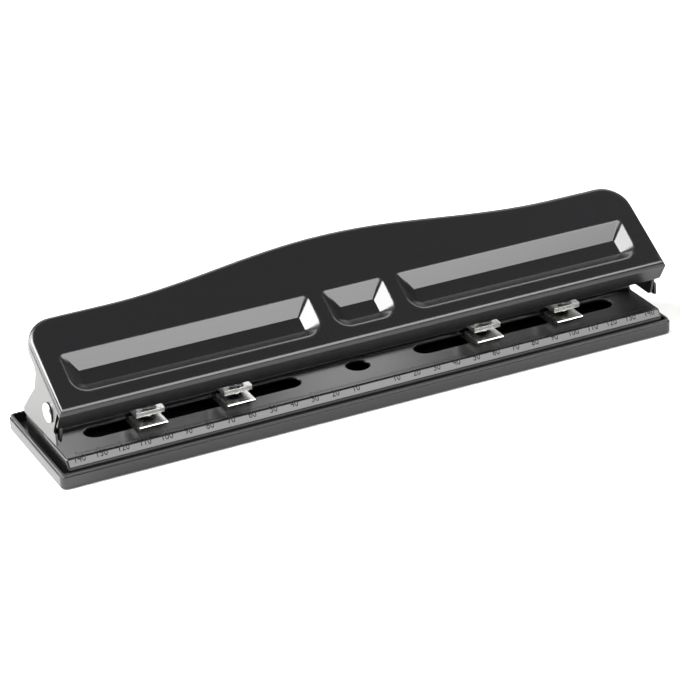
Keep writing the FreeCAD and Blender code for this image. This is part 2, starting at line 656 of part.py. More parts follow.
def head_body(x):
    low = x - HEAD_WIDTH / 2
    high = x + HEAD_WIDTH / 2
    block_front = PUNCH_FROM_FRONT - BLOCK_HALF_DEPTH
    block_back = PUNCH_FROM_FRONT + BLOCK_HALF_DEPTH
    lip_under = PLATE_TOP + HEAD_LIP_GAP
    guide_front = PUNCH_FROM_FRONT - PIN_RADIUS - GUIDE_FRONT_MARGIN
    outline = [(block_front, WEB_UNDER, 0), (SPINE_BACK, WEB_UNDER, HEAD_WEB_THICK),
               (SPINE_BACK, GUIDE_TOP, HEAD_CORNER), (guide_front, GUIDE_TOP, 0),
               (guide_front, GUIDE_UNDER, 0), (SPINE_FRONT, GUIDE_UNDER, HEAD_CORNER),
               (SPINE_FRONT, JAW_TOP, HEAD_CORNER), (JAW_FRONT_FROM_FRONT, JAW_TOP, 0.4),
               (JAW_FRONT_FROM_FRONT, JAW_UNDER, 0.4), (SPINE_FRONT, JAW_UNDER, 0),
               (SPINE_FRONT, WEB_TOP, 0), (block_back, WEB_TOP, 0),
               (block_back, LOWER_JAW_TOP, 0.4), (JAW_FRONT_FROM_FRONT, LOWER_JAW_TOP, HEAD_LIP_ROUND),
               (HEAD_LIP_FROM_FRONT, lip_under + HEAD_LIP_THICK / 3, 0),
               (HEAD_LIP_FROM_FRONT, lip_under, 0), (block_front, lip_under, 0)]
    body = across(outline, low, high)
    body = body.cut(post(x, PUNCH_FROM_FRONT, DIE_RADIUS, LOWER_JAW_TOP - DIE_DEPTH,
                         LOWER_JAW_TOP))
    body = body.cut(post(x, PUNCH_FROM_FRONT, CHIP_HOLE_RADIUS, WEB_UNDER, LOWER_JAW_TOP))
    bore = PIN_RADIUS + PIN_RUNNING_GAP
    body = body.cut(post(x, PUNCH_FROM_FRONT, bore, JAW_UNDER, GUIDE_TOP))
    corner = HEAD_CORNER * 2
    for side in (low, high):
        body = fillet_where(body, corner, lambda edge: is_guide_corner(edge, side, guide_front))
    return body.cut(leaf_rivet_shank(x))


def is_guide_corner(edge, x, from_front):
    same_place = lies_at(edge, 0, x) and lies_at(edge, 1, FRONT + from_front)
    return same_place and edge.BoundBox.ZMin > JAW_TOP


def die_bush(x):
    top = LOWER_JAW_TOP
    ring = post(x, PUNCH_FROM_FRONT, DIE_RADIUS, top - DIE_DEPTH, top)
    return ring.cut(post(x, PUNCH_FROM_FRONT, PIN_RADIUS + DIE_GAP, top - DIE_DEPTH, top))


def punch_pin(x):
    pin = post(x, PUNCH_FROM_FRONT, PIN_RADIUS, PIN_TIP_HEIGHT, PIN_TOP)
    pin = pin.makeChamfer(PIN_TOP_CHAMFER, edges_where(pin, lambda edge: lies_at(edge, 2, PIN_TOP)))
    base = Vector(x, FRONT + PUNCH_FROM_FRONT, PIN_TIP_HEIGHT)
    pin = pin.cut(Part.makeCone(PIN_HOLLOW_RADIUS, 0, PIN_HOLLOW_DEPTH, base))
    core = PIN_RADIUS - CLIP_GROOVE_DEPTH
    groove = post(x, PUNCH_FROM_FRONT, PIN_RADIUS, CLIP_UNDER, CLIP_TOP)
    return pin.cut(groove.cut(post(x, PUNCH_FROM_FRONT, core, CLIP_UNDER, CLIP_TOP)))


def pin_clip(x):
    core = PIN_RADIUS - CLIP_GROOVE_DEPTH
    ring = post(x, PUNCH_FROM_FRONT, CLIP_RADIUS, CLIP_UNDER, CLIP_TOP)
    ring = ring.cut(post(x, PUNCH_FROM_FRONT, core, CLIP_UNDER, CLIP_TOP))
    mouth = block(x - CLIP_MOUTH / 2, x + CLIP_MOUTH / 2, PUNCH_FROM_FRONT,
                  PUNCH_FROM_FRONT + CLIP_RADIUS, CLIP_UNDER, CLIP_TOP)
    return ring.cut(mouth)


def pin_spring(x):
    """Coil of tilted half turns, each an arc of a ring that meets the next one square on."""
    bottom = JAW_TOP + SPRING_WIRE_RADIUS
    top = CLIP_UNDER - SPRING_END_GAP - SPRING_WIRE_RADIUS
    rise = (top - bottom) / SPRING_HALF_TURNS
    along = Vector(0, 1, 0)
    halves = []
    for number in range(SPRING_HALF_TURNS):
        side = 1 if number % 2 == 0 else -1
        low = bottom + number * rise
        start = Vector(x + side * SPRING_COIL_RADIUS, FRONT + PUNCH_FROM_FRONT, low)
        centre = Vector(x, FRONT + PUNCH_FROM_FRONT, low + rise / 2)
        wire = Part.Face(Part.Wire(Part.makeCircle(SPRING_WIRE_RADIUS, start, along)))
        halves.append(wire.revolve(centre, Vector(side * rise, 0, 2 * SPRING_COIL_RADIUS), 180))
    return halves[0].fuse(halves[1:])


def leaf_rivet_height():
    return GUIDE_UNDER - LEAF_RIVET_BELOW_GUIDE


def leaf_rivet_shank(x):
    start = Vector(x, FRONT + SPINE_FRONT, leaf_rivet_height())
    return Part.makeCylinder(LEAF_RIVET_RADIUS, HEAD_SPINE_THICK, start, Vector(0, 1, 0))


def leaf_rivet(x):
    start = Vector(x, FRONT + SPINE_FRONT, leaf_rivet_height())
    shank = Part.makeCylinder(LEAF_RIVET_RADIUS, HEAD_SPINE_THICK + LEAF_THICK, start,
                              Vector(0, 1, 0))
    head = domed_head(x, SPINE_BACK + LEAF_THICK, leaf_rivet_height(), LEAF_RIVET_HEAD_RADIUS,
                      LEAF_RIVET_HEAD_THICK, Vector(0, 1, 0))
    return shank.fuse(head).removeSplitter()


def friction_leaf(x):
    back = SPINE_BACK + LEAF_THICK
    toe = back + LEAF_TOE_REACH
    contact = DECK_TOP + LEAF_GAP + LEAF_THICK
    path = [(back, GUIDE_UNDER - LEAF_TOP_BELOW_GUIDE, 0), (back, LEAF_BEND_HEIGHT, LEAF_BEND),
            (toe, contact, LEAF_BEND), (back + LEAF_REACH, contact + LEAF_TOE_RISE, 0)]
    leaf = across(sheet_strip(path, LEAF_THICK), x - LEAF_WIDTH / 2, x + LEAF_WIDTH / 2)
    height = leaf_rivet_height()
    start = Vector(x, FRONT + SPINE_BACK, height)
    return leaf.cut(Part.makeCylinder(LEAF_RIVET_RADIUS, LEAF_THICK, start, Vector(0, 1, 0)))


# ---------------------------------------------------------------- all pieces

def all_pieces():
    pieces = {"chip_tray": chip_tray(), "frame_plate": frame_plate(), "ear_rivets": ear_rivets(),
              "handle_shell": handle_shell(), "press_bar": press_bar()}
    for name, (x, from_front) in zip(("front_left", "front_right", "back_left", "back_right"),
                                     foot_places()):
        pieces["foot_" + name] = rubber_foot(x, from_front)
    for name, side in (("left", -1), ("right", 1)):
        pieces["ear_" + name] = ear(side)
        pieces["pivot_rivet_" + name] = pivot_rivet(side)
        pieces["pivot_washer_" + name] = pivot_washer(side)
        pieces["bar_hanger_" + name] = bar_hanger(side)
    for number, x in enumerate(HEAD_PLACES, start=1):
        suffix = "_%d" % number
        pieces["head_body" + suffix] = head_body(x)
        pieces["die_bush" + suffix] = die_bush(x)
        pieces["punch_pin" + suffix] = punch_pin(x)
        pieces["pin_clip" + suffix] = pin_clip(x)
        pieces["pin_spring" + suffix] = pin_spring(x)
        pieces["friction_leaf" + suffix] = friction_leaf(x)
        pieces["leaf_rivet" + suffix] = leaf_rivet(x)
    return pieces


os.makedirs("parts", exist_ok=True)
for node, shape in all_pieces().items():
    shape.exportStep("parts/" + node + ".step")
    print("%-18s solids %d valid %s volume %.1f" % (node, len(shape.Solids), shape.isValid(), shape.Volume))
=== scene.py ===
import math
from types import SimpleNamespace

import bmesh
import bpy
from bpy.props import FloatProperty, FloatVectorProperty, IntProperty, PointerProperty
from mathutils import Matrix, Vector


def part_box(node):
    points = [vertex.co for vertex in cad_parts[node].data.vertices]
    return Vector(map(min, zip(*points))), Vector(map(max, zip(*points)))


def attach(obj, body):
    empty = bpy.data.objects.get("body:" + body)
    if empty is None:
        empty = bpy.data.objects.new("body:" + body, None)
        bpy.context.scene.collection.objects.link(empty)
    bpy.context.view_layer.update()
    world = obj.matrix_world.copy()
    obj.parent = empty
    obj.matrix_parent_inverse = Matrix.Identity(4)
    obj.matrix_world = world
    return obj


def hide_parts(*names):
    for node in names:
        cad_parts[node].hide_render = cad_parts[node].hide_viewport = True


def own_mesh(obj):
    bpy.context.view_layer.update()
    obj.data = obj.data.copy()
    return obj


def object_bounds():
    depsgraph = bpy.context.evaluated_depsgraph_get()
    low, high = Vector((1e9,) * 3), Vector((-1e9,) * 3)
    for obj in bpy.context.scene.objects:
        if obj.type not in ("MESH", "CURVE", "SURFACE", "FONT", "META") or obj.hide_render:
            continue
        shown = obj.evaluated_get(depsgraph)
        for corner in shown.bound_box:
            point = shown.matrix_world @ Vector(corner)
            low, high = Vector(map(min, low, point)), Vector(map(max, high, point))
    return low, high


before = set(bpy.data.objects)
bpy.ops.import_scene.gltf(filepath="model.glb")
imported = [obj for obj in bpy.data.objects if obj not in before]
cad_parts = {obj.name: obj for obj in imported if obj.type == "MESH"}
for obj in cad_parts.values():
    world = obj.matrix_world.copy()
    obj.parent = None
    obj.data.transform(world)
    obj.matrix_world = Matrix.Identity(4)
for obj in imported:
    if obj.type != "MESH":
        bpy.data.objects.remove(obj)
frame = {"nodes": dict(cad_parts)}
cad_low, cad_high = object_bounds()

bl_info = {
    "name": "Adjustable Lever Punch",
    "version": (1, 0, 0),
    "blender": (4, 5, 0),
    "location": "3D View > Sidebar > Lever Punch",
    "description": "Dresses the solids of a long adjustable hole punch, piece by piece",
    "category": "Object",
}

# Shapes are in millimetres, which turn to metres when a mesh is made: x along the punch,
# y from its front edge to the back, z up from the surface it stands on.
MM = 0.001
FRONT = cad_low.y / MM
UP = (0, 0, 1)
HEADS = (1, 2, 3, 4)
WELD = 1e-4  # vertices nearer than this become one
LEVEL = 1e-4  # a smaller rise is level
STRAIGHT = 1e-3  # a smaller turn, in radians, is straight
FINE = math.radians(8)  # turn between the points of a bend that shows
SHARPEST_MITRE = 0.3  # least cosine that a mitre is divided by
# Places that more than one piece keeps to, y and z as above.
PIVOT = (16.0, 29.8)  # middle of the rivets that the handle turns on
PIVOT_BORE = 2.06  # radius of the flanges' holes
LIP_RELIEF = 3.2  # below the face, where an end flange parts from the front lip
FRAME_FOOT = 2.4  # height of the frame's lower edge, inside the tray
SPINE_SLOT = (33.6, 37.9)  # front and back of the deck's narrow slots
SPRING_SEAT = 18.3  # height of the upper jaw's top, where the spring stands
GROOVE = (25.4, 26.2)  # lower and upper side of a pin's groove for its clip
INK_LIFT = 0.03  # thickness of the print on the paper plate


def linear(code):
    """Linear colour of an sRGB hex value."""
    parts = [int(code[i:i + 2], 16) / 255 for i in (0, 2, 4)]
    return [c / 12.92 if c <= 0.04045 else ((c + 0.055) / 1.055) ** 2.4 for c in parts]


def length(name, description, size):
    """Property for a length given in millimetres."""
    return FloatProperty(name=name, description=description, default=size * MM, min=0.0,
                         precision=5, unit="LENGTH")


def power(name, description, watts):
    """Property for a lamp's power."""
    return FloatProperty(name=name, description=description, default=watts, min=0.0,
                         unit="POWER")


def colour(name, description, code):
    """Property for a colour given as an sRGB hex value."""
    return FloatVectorProperty(name=name, description=description, default=linear(code),
                               min=0.0, max=1.0, size=3, subtype="COLOR")


# ---- what a user can change

class HandleSizes(bpy.types.PropertyGroup):
    sheet: length("Sheet", "Thickness of the handle's sheet", 1.0)
    half: length("Half length", "From the middle to an end flange's outer face", 147.6)
    crest: length("Crest", "Face height at the two ends, measured up the slope", 49.0)
    swell: length("Swell", "How much higher the crest stands in the middle", 9.7)
    swell_half: length("Swell half length", "Where the swell dies out", 110.0)
    corner: length("Corner", "Radius of the two upper corners", 13.0)
    edge_round: length("Edge bend", "Outer radius of the bend round the face", 2.5)
    lip: length("Front lip", "Depth of the lip under the front edge", 11.4)
    hem: length("Hem", "Depth of the turned edge along the crest", 6.0)
    nose_height: length("Nose height", "Height of the face's front edge", 35.6)
    nose_front: length("Nose set-back", "From the tray's front to the face's front edge", 1.2)
    slope: FloatProperty(name="Slope", description="Slope of the face at rest",
                         default=math.radians(31), unit="ROTATION")


class RecessSizes(bpy.types.PropertyGroup):
    depth: length("Depth", "Depth of the three pressed recesses", 4.0)
    low: length("Lower rim", "Lower rim, measured up the face", 7.8)
    high: length("Upper rim", "Upper rim, measured up the face", 28.6)
    inner: length("Inner end", "Where a long recess starts, from the middle", 21.4)
    outer: length("Outer end", "Where a long recess ends, from the middle", 138.0)
    centre_half: length("Middle recess", "Half length of the middle recess", 15.0)
    end_run: length("End slope", "Run of the two end slopes", 6.6)
    low_run: length("Lower slope", "Run of the lower slope", 5.5)
    high_run: length("Upper slope", "Run of the upper slope", 7.7)
    low_corner: length("Lower corners", "Radius of the rim at the lower corners", 8.0)
    high_corner: length("Upper corners", "Radius of the rim at the upper corners", 2.2)
    floor_corner: length("Floor corners", "Radius of the floor's corners", 0.8)
    rim_round: length("Rim bend", "Radius of the bend at the rim", 4.0)


class FrameSizes(bpy.types.PropertyGroup):
    sheet: length("Sheet", "Thickness of the frame's sheet", 1.2)
    half: length("Half length", "From the middle to the frame's end", 145.8)
    plate: length("Paper plate", "Height of the paper plate", 12.0)
    deck: length("Deck", "Height of the raised deck", 15.0)
    step: length("Step", "From the tray's front to the back stop", 30.0)
    front: length("Front", "From the tray's front to the frame's front lip", 2.2)
    back: length("Back", "From the tray's front to the frame's back lip", 53.4)
    bevel_depth: length("Bevel depth", "Depth of the slanted front edge", 2.4)
    bevel_drop: length("Bevel height", "Height of the slanted front edge", 3.4)
    bevel_bend: length("Bevel bend", "Inside radius of the bends beside the slant", 0.6)
    slot_inner: length("Slot inner end", "Where a long slot starts, from the middle", 28.7)
    slot_outer: length("Slot outer end", "Where a long slot ends, from the middle", 130.4)
    slot_width: length("Slot width", "Width of the long slots", 10.5)
    hole_radius: length("Locating hole", "Radius of the round hole in the middle", 5.25)
    punch_line: length("Punch line", "From the tray's front to the line of holes", 22.45)


class TraySizes(bpy.types.PropertyGroup):
    half: length("Half length", "Half the tray's length", 150.0)
    depth: length("Depth", "The tray's depth from front to back", 67.0)
    top: length("Height", "Height of the tray's rim", 7.2)
    wall: length("Wall", "Thickness of the tray's wall", 1.8)
    corner: length("Corner", "Radius of the tray's upright corners", 3.0)


class HeadSizes(bpy.types.PropertyGroup):
    width: length("Width", "Width of a punch head", 13.2)
    pin_radius: length("Pin radius", "Radius of a punch pin", 3.0)
    wire: length("Spring wire", "Thickness of the return spring's wire", 0.8)
    turns: IntProperty(name="Spring turns", description="Turns of a return spring",
                       default=5, min=3, max=8)


class ScaleSizes(bpy.types.PropertyGroup):
    numeral: length("Numeral height", "Height of the scale's numerals", 3.3)
    tick: length("Tick width", "Width of a tick of the scale", 0.28)
    span: IntProperty(name="Last numeral", description="Largest number on the scale",
                      default=140, min=50, max=140)


class Finishes(bpy.types.PropertyGroup):
    enamel: colour("Enamel", "Black stoving enamel of handle and frame", "0B0B0C")
    plastic: colour("Plastic", "Black moulded plastic of the chip tray", "101112")
    nickel: colour("Nickel", "Nickel plate of heads and rivets", "CDCCC9")
    tool_steel: colour("Tool steel", "Ground steel of pins and dies", "A9A8A4")
    spring_steel: colour("Spring steel", "Bright steel of springs and leaves", "8F9092")
    rubber: colour("Rubber", "Black rubber of the feet", "0D0D0D")
    ink: colour("Ink", "Matt ink of the scale", "040404")


class StageLook(bpy.types.PropertyGroup):
    floor: colour("Floor", "Colour of the pale floor", "D2D2D0")
    wall_light: FloatProperty(name="Wall light", description="Brightness of the pale walls",
                              default=0.7, min=0.0)
    ceiling_light: FloatProperty(name="Ceiling light", default=0.15, min=0.0,
                                 description="Brightness of the dim ceiling")
    front_box: power("Front softbox", "Power of the front softbox", 10.5)
    left_box: power("Left softbox", "Power of the left softbox", 7.5)
    high_box: power("High softbox", "Power of the high left softbox", 97.0)
    back_box: power("Back softbox", "Power of the back softbox", 6.6)
    low_strips: power("Low strips", "Power of each narrow strip low behind the punch", 0.4)


class PunchLook(bpy.types.PropertyGroup):
    handle: PointerProperty(type=HandleSizes)
    recess: PointerProperty(type=RecessSizes)
    frame: PointerProperty(type=FrameSizes)
    tray: PointerProperty(type=TraySizes)
    head: PointerProperty(type=HeadSizes)
    scale: PointerProperty(type=ScaleSizes)
    finish: PointerProperty(type=Finishes)
    stage: PointerProperty(type=StageLook)


def sizes(group):
    """A property group's lengths in millimetres, and its other numbers as they are."""
    values = SimpleNamespace()
    for key, prop in group.bl_rna.properties.items():
        if prop.type in {"FLOAT", "INT"}:
            value = getattr(group, key)
            setattr(values, key, value / MM if prop.unit == "LENGTH" else value)
    return values


# ---- outlines

def mirrored(inner, outer):
    """The x of both ends of a thing on the left, and of its mirror image on the right."""
    return (-outer, -inner), (inner, outer)


def on_circle(x, y, radius, angle):
    return Vector((x + radius * math.cos(angle), y + radius * math.sin(angle)))


def rectangle(x_from, x_to, y_from, y_to):
    return [(x_from, y_from), (x_to, y_from), (x_to, y_to), (x_from, y_to)]


def circle(x, y, radius, steps=40):
    return [on_circle(x, y, radius, 2 * math.pi * k / steps) for k in range(steps)]


def stadium(x_from, x_to, y, width, grow, steps=14):
    """Long round-ended outline along x, widened all round by grow."""
    ends = ((x_to - width / 2, -90), (x_from + width / 2, 90))
    return [on_circle(x, y, width / 2 + grow, math.radians(start + 180 * k / steps))
            for x, start in ends for k in range(steps + 1)]


def rounded(corners, step=math.radians(10)):
    """Points of a closed outline of (a, b, radius) corners."""
    outline = []
    count = len(corners)
    for index, (a, b, radius) in enumerate(corners):
        here = Vector((a, b))
        back = (Vector(corners[index - 1][:2]) - here).normalized()
        ahead = (Vector(corners[(index + 1) % count][:2]) - here).normalized()
        turn = math.pi - back.angle(ahead)
        if radius <= 0 or turn < STRAIGHT:
            outline.append(here)
            continue
        half = (math.pi - turn) / 2
        centre = here + (back + ahead).normalized() * (radius / math.sin(half))
        arm = here + back * (radius / math.tan(half)) - centre
        way = 1 if back.cross(ahead) < 0 else -1
        pieces = max(2, math.ceil(turn / step))
        outline += [centre + Matrix.Rotation(way * turn * k / pieces, 2) @ arm
                    for k in range(pieces + 1)]
    return outline


def mitre(before, after, distance):
    """Shift to the right of a corner that moves both its sides by a distance."""
    right = Vector((after.y, -after.x))
    middle = (Vector((before.y, -before.x)) + right).normalized()
    return middle * (distance / max(SHARPEST_MITRE, middle.dot(right)))


def sheet_strip(path, thickness):
    """Side outline of a sheet on the right of a path of (a, b, inside bend radius)."""
    points = [Vector((a, b)) for a, b, radius in path]
    last = len(points) - 1
    near = []
    far = []
    for index, point in enumerate(points):
        before = (point - points[index - 1]).normalized() if index > 0 else None
        after = (points[index + 1] - point).normalized() if index < last else None
        before = before or after
        after = after or before
        turns_right = before.cross(after) < 0
        radius = path[index][2]
        outer = radius + thickness if radius else radius
        near.append((*point, outer if turns_right else radius))
        far.append((*(point + mitre(before, after, thickness)),
                    radius if turns_right else outer))
    return near, far[::-1]


def inset_outline(outline, distance):
    """The outline moved inward all round."""
    area = sum(a.cross(b) for a, b in zip(outline, outline[1:] + outline[:1])) / 2
    to_right = -distance if area > 0 else distance
    moved = []
    for index, here in enumerate(outline):
        before = (here - outline[index - 1]).normalized()
        after = (outline[(index + 1) % len(outline)] - here).normalized()
        moved.append(here + mitre(before, after, to_right))
    return moved


def round_over(radius, steps=4):
    """(inward, down) of the points of a rounded edge, from its flat top to its side."""
    angles = [math.pi / 2 * k / steps for k in range(steps + 1)]
    return [(radius * (1 - math.sin(a)), radius * (1 - math.cos(a))) for a in angles]


# ---- meshes

def at_x(x):
    """Turns (y, z) points into points on the upright plane at x."""
    return lambda p: Vector((x, p.x, p.y))


def at_z(z):
    """Turns (x, y) points into points on the level plane at z."""
    return lambda p: Vector((p.x, p.y, z))


def ring(bm, points):
    return [bm.verts.new(p) for p in points]


def round_ring(bm, centre, side, other, radius, steps):
    """Round ring in the plane of two directions that stand at right angles."""
    angles = [2 * math.pi * k / steps for k in range(steps)]
    return ring(bm, [centre + (side * math.cos(a) + other * math.sin(a)) * radius
                     for a in angles])


def bridge(bm, rings, closed=True):
    """Quads between rings of equal length."""
    for low, high in zip(rings, rings[1:]):
        count = len(low) if closed else len(low) - 1
        for k in range(count):
            n = (k + 1) % len(low)
            bm.faces.new((low[k], low[n], high[n], high[k]))


def close_up(bm, rings):
    """Quads between the rings, and a face over each end."""
    bridge(bm, rings)
    bm.faces.new(rings[0])
    bm.faces.new(rings[-1])


def fill(bm, outer, holes=()):
    """Flat skin inside the outer ring and round the holes."""
    edges = []
    for loop in (outer, *holes):
        for a, b in zip(loop, loop[1:] + loop[:1]):
            edges.append(bm.edges.get((a, b)) or bm.edges.new((a, b)))
    bmesh.ops.triangle_fill(bm, use_beauty=True, use_dissolve=False, edges=edges)


def prism(bm, outline, place, start, end):
    """Closed prism: place(distance) turns outline points into points in space."""
    close_up(bm, [ring(bm, map(place(d), outline)) for d in (start, end)])


def slab(bm, outline, place, near, far, rim):
    """Closed slab with a rounded rim on its near side."""
    way = 1 if far > near else -1
    rings = [ring(bm, map(place(near + way * down), inset_outline(outline, inward)))
             for inward, down in round_over(rim)]
    rings.append(ring(bm, map(place(far), outline)))
    bridge(bm, rings)
    fill(bm, rings[0])
    fill(bm, rings[-1])


def lathe(bm, profile, centre, axis, steps=40):
    """Turned piece: profile is (radius, distance along the axis) from one end to the other."""
    axis = Vector(axis).normalized()
    side = axis.orthogonal().normalized()
    other = axis.cross(side)
    rings = []
    for radius, along in profile:
        middle = Vector(centre) + axis * along
        rings.append(round_ring(bm, middle, side, other, radius, steps) if radius
                     else ring(bm, [middle]))
    for low, high in zip(rings, rings[1:]):
        for k in range(steps):
            n = (k + 1) % steps
            corners = [low[k % len(low)], low[n % len(low)], high[n % len(high)],
                       high[k % len(high)]]
            kept = [v for i, v in enumerate(corners) if v not in corners[:i]]
            if len(kept) > 2:
                bm.faces.new(kept)


def tube(bm, line, radius, steps=10):
    """Round wire along a line of points, closed at both ends."""
    rings = []
    side = (line[1] - line[0]).orthogonal()
    for index, here in enumerate(line):
        ahead = (line[min(index + 1, len(line) - 1)] - line[max(index - 1, 0)]).normalized()
        side = (side - ahead * side.dot(ahead)).normalized()
        rings.append(round_ring(bm, here, side, ahead.cross(side), radius, steps))
    close_up(bm, rings)


# ---- pieces of the scene

def add_object(name, data):
    thing = bpy.data.objects.new(name, data)
    bpy.context.scene.collection.objects.link(thing)
    return thing


def mesh_object(bm, name):
    """Object with the mesh that was built."""
    mesh = bpy.data.meshes.new(name)
    bm.to_mesh(mesh)
    bm.free()
    return add_object(name, mesh)


def baked_mesh(thing):
    """New mesh of an object's shape, with its modifiers or its font applied."""
    bpy.context.view_layer.update()
    shaped = thing.evaluated_get(bpy.context.evaluated_depsgraph_get())
    return bpy.data.meshes.new_from_object(shaped)


def soften_edges(piece, width):
    """Rounds a piece's sharp edges by a width in millimetres."""
    edge = piece.modifiers.new("edges", "BEVEL")
    edge.width = width * MM
    edge.segments = 2
    edge.limit_method = "ANGLE"
    edge.angle_limit = math.radians(50)


def sharpen_joins(mesh):
    """Marks edges where more than two faces meet, so that their shading stays apart."""
    uses = [0] * len(mesh.edges)
    for loop in mesh.loops:
        uses[loop.edge_index] += 1
    for edge in mesh.edges:
        if uses[edge.index] > 2:
            edge.use_edge_sharp = True


def make_piece(bm, name, finish, body, nodes=(), sheet=0.0, bevel=0.0, sharp=40.0, cutters=()):
    """Turns a mesh in millimetres into a piece that rides on a body."""
    bmesh.ops.remove_doubles(bm, verts=bm.verts, dist=WELD)
    bmesh.ops.recalc_face_normals(bm, faces=bm.faces)
    bmesh.ops.translate(bm, verts=bm.verts, vec=(0, FRONT, 0))
    bmesh.ops.scale(bm, verts=bm.verts, vec=(MM, MM, MM))
    piece = mesh_object(bm, name)
    material, slot = finish_of(finish)
    piece.data.materials.append(material)
    if sheet:
        thick = piece.modifiers.new("sheet", "SOLIDIFY")
        thick.thickness = sheet * MM
        thick.offset = -1
        thick.use_even_offset = True
    if bevel:
        soften_edges(piece, bevel)
    for cutter in cutters:
        cut = piece.modifiers.new("bore", "BOOLEAN")
        cut.object = cutter
        cut.solver = "EXACT"
    if cutters:
        shape = baked_mesh(piece)
        piece.modifiers.clear()
        piece.data = shape
        for cutter in cutters:
            bpy.data.objects.remove(cutter)
    piece.data.shade_smooth()
    piece.data.set_sharp_from_angle(angle=math.radians(sharp))
    sharpen_joins(piece.data)
    normals = piece.modifiers.new("flat faces", "WEIGHTED_NORMAL")
    normals.keep_sharp = True
    normals.weight = 80
    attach(piece, body)
    if nodes:
        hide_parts(*nodes)
    return piece


def cylinder_cutter(x, y, radius, low, high):
    """Upright cylinder that bores a hole."""
    bm = bmesh.new()
    lathe(bm, [(0, low), (radius, low), (radius, high), (0, high)], (x, y + FRONT, 0), UP)
    bmesh.ops.recalc_face_normals(bm, faces=bm.faces)
    bmesh.ops.scale(bm, verts=bm.verts, vec=(MM, MM, MM))
    return mesh_object(bm, "cutter")


# ---- materials

def add_node(tree, kind, settings=None, links=None):
    """Adds a node, sets its sockets and attributes, and links its inputs to other outputs."""
    node = tree.nodes.new(kind)
    for key, value in (settings or {}).items():
        if key in node.inputs:
            node.inputs[key].default_value = value
        else:
            setattr(node, key, value)
    for key, (source, output) in (links or {}).items():
        tree.links.new(source.outputs[output], node.inputs[key])
    return node


def start_material(name, base, **values):
    """New material with one shader of the given base colour and values."""
    material = bpy.data.materials.new(name)
    material.use_nodes = True
    tree = material.node_tree
    tree.nodes.clear()
    shader = add_node(tree, "ShaderNodeBsdfPrincipled",
                      {"name": "shader", "Base Color": (*base, 1.0), **values})
    add_node(tree, "ShaderNodeOutputMaterial", links={"Surface": (shader, "BSDF")})
    return material


def per_mm(size):
    """Texture scale that makes a pattern's cell this many millimetres wide."""
    return 1 / (size * MM)


def add_relief(material, cell, depth, strength, **noise):
    """Covers a material with fine bumps; cell and depth are in millimetres."""
    tree = material.node_tree
    place = add_node(tree, "ShaderNodeTexCoord")
    grain = add_node(tree, "ShaderNodeTexNoise", {"Scale": per_mm(cell), **noise},
                     {"Vector": (place, "Object")})
    bump = add_node(tree, "ShaderNodeBump", {"Strength": strength, "Distance": depth * MM},
                    {"Height": (grain, "Fac")})
    tree.links.new(bump.outputs["Normal"], tree.nodes["shader"].inputs["Normal"])
    return material


def vary_gloss(material, cell, low, high, detail, stretch=None):
    """Lets the roughness wander from low to high, in cells of so many millimetres."""
    tree = material.node_tree
    source = (add_node(tree, "ShaderNodeTexCoord"), "Object")
    if stretch:
        source = (add_node(tree, "ShaderNodeMapping", {"Scale": stretch},
                           {"Vector": source}), "Vector")
    marks = add_node(tree, "ShaderNodeTexNoise", {"Scale": per_mm(cell), "Detail": detail},
                     {"Vector": source})
    dull = add_node(tree, "ShaderNodeMapRange", {"To Min": low, "To Max": high},
                    {"Value": (marks, "Fac")})
    tree.links.new(dull.outputs["Result"], tree.nodes["shader"].inputs["Roughness"])
    return material


def black_enamel(look):
    # Black stoving enamel, sprayed and baked on pressed steel: deep black, a sharp gloss, and
    # a very slight orange peel that softens the ends of the highlights.
    material = start_material("black_stoving_enamel", look.enamel, Roughness=0.25, IOR=1.5)
    return add_relief(material, 1.8, depth=0.02, strength=0.12, Detail=2.0, Roughness=0.4)


def moulded_plastic(look):
    # Black polystyrene, injection moulded: black with a soft sheen and a fine even grain.
    material = start_material("black_moulded_polystyrene", look.plastic, Roughness=0.27,
                              IOR=1.55)
    return add_relief(material, 0.6, depth=0.02, strength=0.15, Detail=3.0)


def nickel_plate(look):
    # Bright nickel over stamped steel: a clean pale mirror, softened a little by the plating,
    # with fine rolling marks along the punch.
    material = start_material("bright_nickel_plate", look.nickel, Metallic=1.0, Roughness=0.2)
    return vary_gloss(material, 0.35, 0.22, 0.34, detail=2.0, stretch=(0.08, 1.0, 1.0))


def ground_steel(look):
    # Hardened tool steel, ground to size: grey, with the fine lines of the wheel across it.
    material = start_material("ground_tool_steel", look.tool_steel, Metallic=1.0,
                              Roughness=0.25)
    return vary_gloss(material, 0.3, 0.18, 0.36, detail=2.0, stretch=(0.1, 0.1, 1.0))


def drawn_steel(look):
    # Spring steel, drawn or rolled and left bright: grey with a slightly uneven sheen.
    material = start_material("bright_spring_steel", look.spring_steel, Metallic=1.0,
                              Roughness=0.3)
    return vary_gloss(material, 1.5, 0.22, 0.4, detail=3.0)


def foot_rubber(look):
    # Black nitrile rubber, moulded: dull, with a fine tooth that grips.
    material = start_material("black_nitrile_rubber", look.rubber, Roughness=0.75, IOR=1.52)
    return add_relief(material, 0.5, depth=0.05, strength=0.4, Detail=3.0)


def marking_ink(look):
    # Matt marking ink, printed on the enamel: it shows where it takes the gloss away.
    material = start_material("matt_marking_ink", look.ink, Roughness=0.8, IOR=1.4)
    return vary_gloss(material, 0.4, 0.6, 0.95, detail=2.0)


# Each finish: what makes its material, and its slot.
FINISHES = {"enamel": (black_enamel, "black_enamel"),
            "plastic": (moulded_plastic, "black_plastic"),
            "nickel": (nickel_plate, "bright_steel"),
            "tool_steel": (ground_steel, "hardened_steel"),
            "spring_steel": (drawn_steel, "spring_steel"),
            "rubber": (foot_rubber, "black_rubber"),
            "ink": (marking_ink, "black_enamel")}
materials = {}


